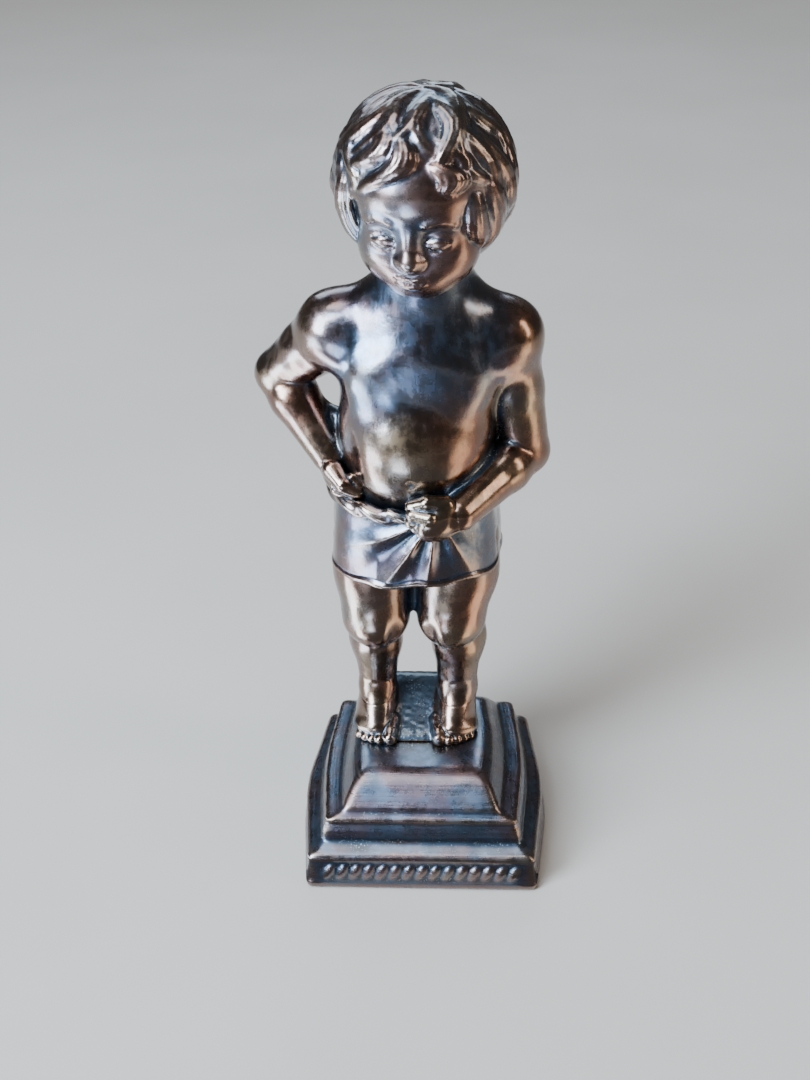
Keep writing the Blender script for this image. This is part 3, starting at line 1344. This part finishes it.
def add_floor():
    """Plain pale floor with a very faint mottle, which passes into the backdrop far off."""
    side = FLOOR_HALF_SIDE
    corners = [(-side, -side, 0.0), (side, -side, 0.0), (side, side, 0.0), (-side, side, 0.0)]
    look = Shading("pale_floor")
    shade = look.patches(14.0, 4.0, 0.3, 0.7)
    colour = look.mix(shade, *FLOOR_COLOURS)
    away = look.node("ShaderNodeVectorMath", {0: look.place}, operation="LENGTH").outputs["Value"]
    fade = look.rise(away, FLOOR_FADE_START, FLOOR_FADE_END, 1.0, 0.0)
    paint = look.finish(Base_Color=colour, Roughness=0.6, Alpha=fade)
    add_staged("floor", flat_mesh("floor", corners, [(0, 1, 2, 3)]), paint)


def add_light(name, place, aim, width, height, power, colour):
    """Softbox at a place, in metres, facing a point."""
    data = bpy.data.lights.new(name, "AREA")
    data.shape = "RECTANGLE"
    data.size, data.size_y = width, height
    data.energy, data.color = power, colour
    light = add_object(name, data)
    light.location = place
    light.visible_camera = False
    light.rotation_mode = "QUATERNION"
    light.rotation_quaternion = (Vector(aim) - Vector(place)).to_track_quat("-Z", "Y")
    return light


# Glowing cards that lie on the floor: name, degrees round from the front, nearest and farthest edge
# and width in metres, watts and colour. They put the long highlights on the arms and the legs.
FLOOR_CARDS = (
    ("left_near", -70.0, 0.030, 0.115, 0.022, 0.13, (0.58, 0.74, 0.95)),
    ("left_far", -66.0, 0.115, 0.300, 0.080, 1.2, (0.50, 0.72, 1.0)),
    ("right_near", 70.0, 0.030, 0.115, 0.022, 0.02, (1.0, 0.76, 0.48)),
    ("right_far", 70.0, 0.115, 0.300, 0.060, 0.12, (1.0, 0.76, 0.48)),
    ("front_far", -22.0, 0.090, 0.260, 0.050, 0.42, (0.50, 0.70, 1.0)),
)
FLAG_NEAR, FLAG_FAR, FLAG_HEIGHT = 0.019, 0.34, 0.001
FLAG_HALF_ANGLE, FLAG_PANELS = 54.0, 8
FLAG_COLOUR = (0.065, 0.050, 0.044, 1.0)
BACKDROP_RADIUS = 1.5
BACKDROP_COLOUR = (0.40, 0.385, 0.37, 1.0)


def add_flag():
    """Dark card in front of the figure, seen only in its reflections."""
    angles = np.radians(np.linspace(-FLAG_HALF_ANGLE, FLAG_HALF_ANGLE, FLAG_PANELS + 1))
    rim = [(r * math.sin(a), -r * math.cos(a), FLAG_HEIGHT) for r in (FLAG_NEAR, FLAG_FAR) for a in angles]
    far = len(angles)
    faces = [(k, k + 1, far + k + 1, far + k) for k in range(FLAG_PANELS)]
    cloth = Shading("flag_cloth").finish(Base_Color=FLAG_COLOUR, Roughness=0.9)
    flag = add_staged("flag", flat_mesh("flag", rim, faces), cloth)
    flag.visible_camera = flag.visible_diffuse = flag.visible_shadow = False


def add_backdrop():
    """Pale dome behind everything, seen only directly."""
    mesh = bpy.data.meshes.new("backdrop")
    shape = bmesh.new()
    bmesh.ops.create_uvsphere(shape, u_segments=48, v_segments=24, radius=BACKDROP_RADIUS)
    shape.to_mesh(mesh)
    shape.free()
    paper = Shading("backdrop_paper").finish(
        Base_Color=(0.0, 0.0, 0.0, 1.0), Roughness=1.0,
        Emission_Color=BACKDROP_COLOUR, Emission_Strength=1.0,
    )
    backdrop = add_staged("backdrop", mesh, paper)
    backdrop.visible_glossy = backdrop.visible_diffuse = backdrop.visible_shadow = False


# Softboxes that face the figurine: name, place, width and height in metres, watts and colour.
AIM = (0.0, 0.0, 0.05)
SOFTBOXES = (
    ("window", (-0.40, -0.34, 0.32), 0.24, 0.40, 15.0, (0.60, 0.79, 1.0)),
    ("skylight", (-0.19, -0.29, 0.46), 0.15, 0.15, 2.0, (0.60, 0.79, 1.0)),
    ("ceiling", (-0.10, -0.10, 0.70), 0.30, 0.30, 2.2, (0.90, 0.95, 1.0)),
    ("room", (0.50, -0.15, 0.30), 0.10, 0.4, 1.2, (1.0, 0.86, 0.70)),
    ("back", (-0.06, 0.50, 0.42), 0.55, 0.24, 2.2, (0.60, 0.80, 1.0)),
)
CARD_HEIGHT = 0.002
WORLD_COLOUR, WORLD_STRENGTH = (0.30, 0.29, 0.28, 1.0), 0.35


def add_lights():
    for name, place, *others in SOFTBOXES:
        add_light(name, place, AIM, *others)
    for name, bearing, near, far, width, power, colour in FLOOR_CARDS:
        middle = 0.5 * (near + far)
        angle = math.radians(bearing)
        place = (middle * math.sin(angle), -middle * math.cos(angle), CARD_HEIGHT)
        card = add_light(name, place, AIM, width, far - near, power, colour)
        card.rotation_mode = "XYZ"
        card.rotation_euler = (math.pi, 0.0, angle)
    world = bpy.data.worlds.new("studio")
    world.use_nodes = True
    background = world.node_tree.nodes["Background"]
    background.inputs["Color"].default_value = WORLD_COLOUR
    background.inputs["Strength"].default_value = WORLD_STRENGTH
    bpy.context.scene.world = world


CAMERA_PLACE = (7.0426, -142.1307, 131.8587)       # millimetres
CAMERA_TURN = (57.84882, 1.38669, 2.62855)         # degrees about X, Y and Z
CAMERA_LENS = 48.0                                 # millimetres, on a sensor 36 wide


def add_camera():
    data = bpy.data.cameras.new("camera")
    data.lens, data.sensor_width = CAMERA_LENS, 36.0
    data.clip_start = 0.001
    camera = add_object("camera", data)
    camera.location = Vector(CAMERA_PLACE) * MM
    camera.rotation_euler = [math.radians(angle) for angle in CAMERA_TURN]
    bpy.context.scene.camera = camera


build_castings()
dress_cad_nodes()
add_floor()
add_flag()
add_backdrop()
add_lights()
add_camera()
